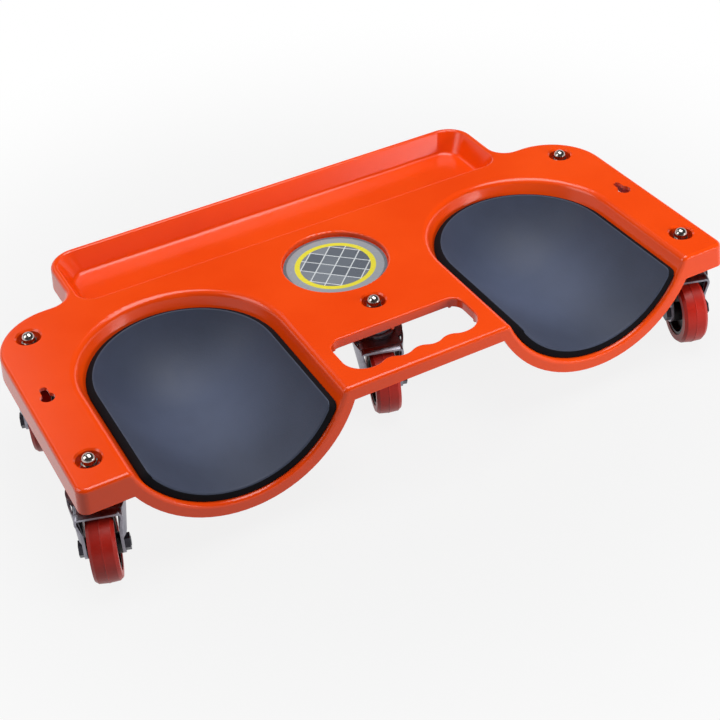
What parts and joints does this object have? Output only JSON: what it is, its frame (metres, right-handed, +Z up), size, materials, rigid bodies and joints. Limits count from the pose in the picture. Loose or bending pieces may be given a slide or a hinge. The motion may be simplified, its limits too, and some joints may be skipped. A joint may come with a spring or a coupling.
{
  "type": "rolling kneeling platform",
  "caption": "Low moulded trolley for floor work with padded knee wells, a tool tray, a hand slot, hanging keyholes and swivel castors.",
  "frame": {"origin": "on the floor under the middle of the platform, in the deck's mirror plane", "axes": "+X to the right along the long side, +Y towards the tool tray, +Z up from the floor"},
  "size_m": [0.6563, 0.3657, 0.1076],
  "materials": {
    "orange_plastic": "glossy moulded",
    "pad_foam": "matt closed-cell foam",
    "label_film": "satin printed film",
    "bright_chrome": "polished",
    "zinc_steel": "bright zinc plate",
    "hub_black": "moulded black",
    "tread_red": "satin rubber"
  },
  "bodies": {
    "platform": {"platform_moulding": "orange_plastic", "knee_pad_left": "pad_foam", "knee_pad_right": "pad_foam", "label_disc": "label_film", "cap_nuts": "bright_chrome", "washers": "zinc_steel", "castor_stems": "zinc_steel", "swivel_cups": "zinc_steel"},
    "swivel_rear_left": {"fork_rear_left": "zinc_steel", "axle_bolt_rear_left": "zinc_steel", "lock_nut_rear_left": "zinc_steel"},
    "wheel_rear_left": {"wheel_hub_rear_left": "hub_black", "wheel_tread_rear_left": "tread_red"},
    "swivel_rear_right": {"fork_rear_right": "zinc_steel", "axle_bolt_rear_right": "zinc_steel", "lock_nut_rear_right": "zinc_steel"},
    "wheel_rear_right": {"wheel_hub_rear_right": "hub_black", "wheel_tread_rear_right": "tread_red"},
    "swivel_front_left": {"fork_front_left": "zinc_steel", "axle_bolt_front_left": "zinc_steel", "lock_nut_front_left": "zinc_steel"},
    "wheel_front_left": {"wheel_hub_front_left": "hub_black", "wheel_tread_front_left": "tread_red"},
    "swivel_front_right": {"fork_front_right": "zinc_steel", "axle_bolt_front_right": "zinc_steel", "lock_nut_front_right": "zinc_steel"},
    "wheel_front_right": {"wheel_hub_front_right": "hub_black", "wheel_tread_front_right": "tread_red"},
    "swivel_centre": {"fork_centre": "zinc_steel", "axle_bolt_centre": "zinc_steel", "lock_nut_centre": "zinc_steel"},
    "wheel_centre": {"wheel_hub_centre": "hub_black", "wheel_tread_centre": "tread_red"}
  },
  "joints": [
    {"name": "swivel_rear_left", "type": "hinge", "parent": "platform", "child": "swivel_rear_left", "pos_m": [-0.3, -0.124, 0.07], "axis": [0, 0, 1], "continuous": true},
    {"name": "roll_rear_left", "type": "hinge", "parent": "swivel_rear_left", "child": "wheel_rear_left", "pos_m": [-0.30865, -0.15063, 0.0315], "axis": [0.9511, -0.309, 0], "continuous": true},
    {"name": "swivel_rear_right", "type": "hinge", "parent": "platform", "child": "swivel_rear_right", "pos_m": [0.3, -0.124, 0.07], "axis": [0, 0, 1], "continuous": true},
    {"name": "roll_rear_right", "type": "hinge", "parent": "swivel_rear_right", "child": "wheel_rear_right", "pos_m": [0.29135, -0.15063, 0.0315], "axis": [0.9511, -0.309, 0], "continuous": true},
    {"name": "swivel_front_left", "type": "hinge", "parent": "platform", "child": "swivel_front_left", "pos_m": [-0.29, 0.062, 0.07], "axis": [0, 0, 1], "continuous": true},
    {"name": "roll_front_left", "type": "hinge", "parent": "swivel_front_left", "child": "wheel_front_left", "pos_m": [-0.29865, 0.03537, 0.0315], "axis": [0.9511, -0.309, 0], "continuous": true},
    {"name": "swivel_front_right", "type": "hinge", "parent": "platform", "child": "swivel_front_right", "pos_m": [0.29, 0.062, 0.07], "axis": [0, 0, 1], "continuous": true},
    {"name": "roll_front_right", "type": "hinge", "parent": "swivel_front_right", "child": "wheel_front_right", "pos_m": [0.28135, 0.03537, 0.0315], "axis": [0.9511, -0.309, 0], "continuous": true},
    {"name": "swivel_centre", "type": "hinge", "parent": "platform", "child": "swivel_centre", "pos_m": [0, -0.059, 0.07], "axis": [0, 0, 1], "continuous": true},
    {"name": "roll_centre", "type": "hinge", "parent": "swivel_centre", "child": "wheel_centre", "pos_m": [-0.00865, -0.08563, 0.0315], "axis": [0.9511, -0.309, 0], "continuous": true}
  ]
}
